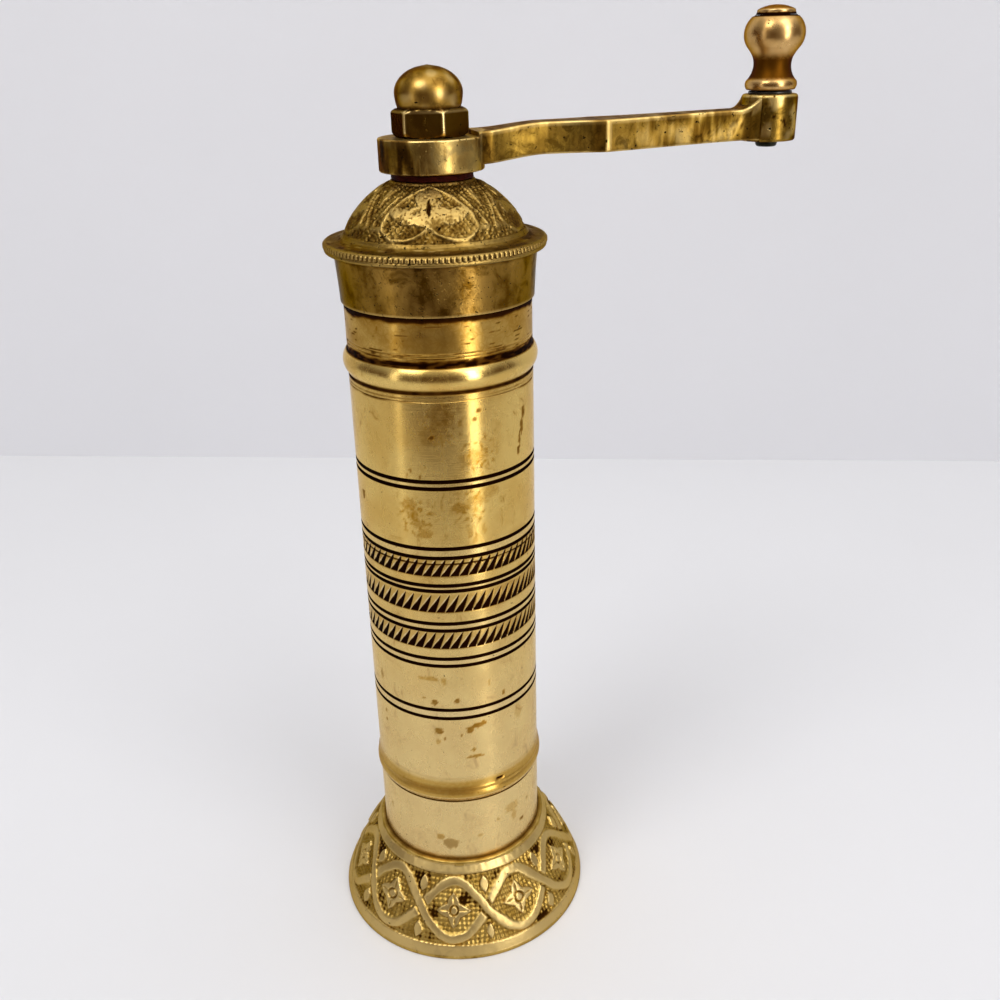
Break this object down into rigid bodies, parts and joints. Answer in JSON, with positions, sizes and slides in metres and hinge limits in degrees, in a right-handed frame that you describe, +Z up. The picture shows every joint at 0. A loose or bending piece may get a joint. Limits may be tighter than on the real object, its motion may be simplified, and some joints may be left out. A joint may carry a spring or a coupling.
{
  "type": "pepper mill",
  "caption": "Brass pepper mill with a flared foot, a ringed tube, a domed lid and a side crank with a turned knob that drives a conical burr inside.",
  "frame": {"origin": "centre of the foot's flat underside", "axes": "+Z up along the tube's axis, +X along the crank arm at rest"},
  "size_m": [0.106, 0.06, 0.2012],
  "materials": {
    "tube_brass": "worn polish with amber tarnish",
    "lid_brass": "dark patina",
    "cast_brass": "cast, worn, dirt in the hollows",
    "nut_brass": "dark patina, bright worn edges",
    "knob_brass": "polished",
    "plain_brass": "plain turned",
    "steel": "plain turned",
    "burr_steel": "dark hardened",
    "red_fibre": "matte, oiled"
  },
  "bodies": {
    "base": {"foot": "cast_brass", "base_plate": "plain_brass", "cup_tube": "tube_brass"},
    "mill_body": {"body_tube": "tube_brass", "cup_sleeve": "plain_brass", "lower_bridge": "plain_brass", "bridge_screws": "steel", "burr_ring": "burr_steel", "upper_bridge": "plain_brass", "shaft_bush": "plain_brass", "spring": "steel"},
    "adjuster": {"thrust_ball": "steel"},
    "adjuster_wheel": {"adjusting_screw": "steel", "adjusting_wheel": "plain_brass", "wheel_pin": "steel"},
    "shaft": {"drive_shaft": "steel", "burr_cone": "burr_steel", "burr_pin": "steel", "spring_seat": "steel", "spring_pin": "steel"},
    "lid": {"lid_dome": "lid_brass", "lid_skirt": "lid_brass", "crank_washer": "red_fibre"},
    "crank": {"crank_arm": "cast_brass", "knob_axle": "knob_brass", "knob_washer": "burr_steel"},
    "nut": {"cap_nut": "nut_brass"},
    "knob": {"crank_knob": "knob_brass"}
  },
  "joints": [
    {"name": "body_lift", "type": "slide", "parent": "base", "child": "mill_body", "axis": [0, 0, 1], "range_m": [0, 0.045]},
    {"name": "adjuster_rise", "type": "slide", "parent": "mill_body", "child": "adjuster", "axis": [0, 0, 1], "range_m": [0, 0.001], "deforming": ["spring"]},
    {"name": "adjuster_turn", "type": "hinge", "parent": "adjuster", "child": "adjuster_wheel", "pos_m": [0, 0, 0.0225], "axis": [0, 0, 1], "range_deg": [0, 360]},
    {"name": "crank_turn", "type": "hinge", "parent": "adjuster", "child": "shaft", "pos_m": [0, 0, 0.1], "axis": [0, 0, 1], "continuous": true},
    {"name": "crank_lift", "type": "slide", "parent": "shaft", "child": "crank", "axis": [0, 0, 1], "range_m": [0, 0.08]},
    {"name": "nut_lift", "type": "slide", "parent": "shaft", "child": "nut", "axis": [0, 0, 1], "range_m": [0, 0.1]},
    {"name": "lid_lift", "type": "slide", "parent": "mill_body", "child": "lid", "axis": [0, 0, 1], "range_m": [0, 0.044]},
    {"name": "knob_spin", "type": "hinge", "parent": "crank", "child": "knob", "pos_m": [0.07, 0, 0.19], "axis": [0, 0, 1], "continuous": true}
  ],
  "couplings": [
    {"joint": "adjuster_turn", "follows": "adjuster_rise", "rad_per_m": 6283},
    {"joint": "nut_lift", "follows": "crank_lift", "ratio": 1.25},
    {"joint": "lid_lift", "follows": "crank_lift", "ratio": 0.55}
  ]
}
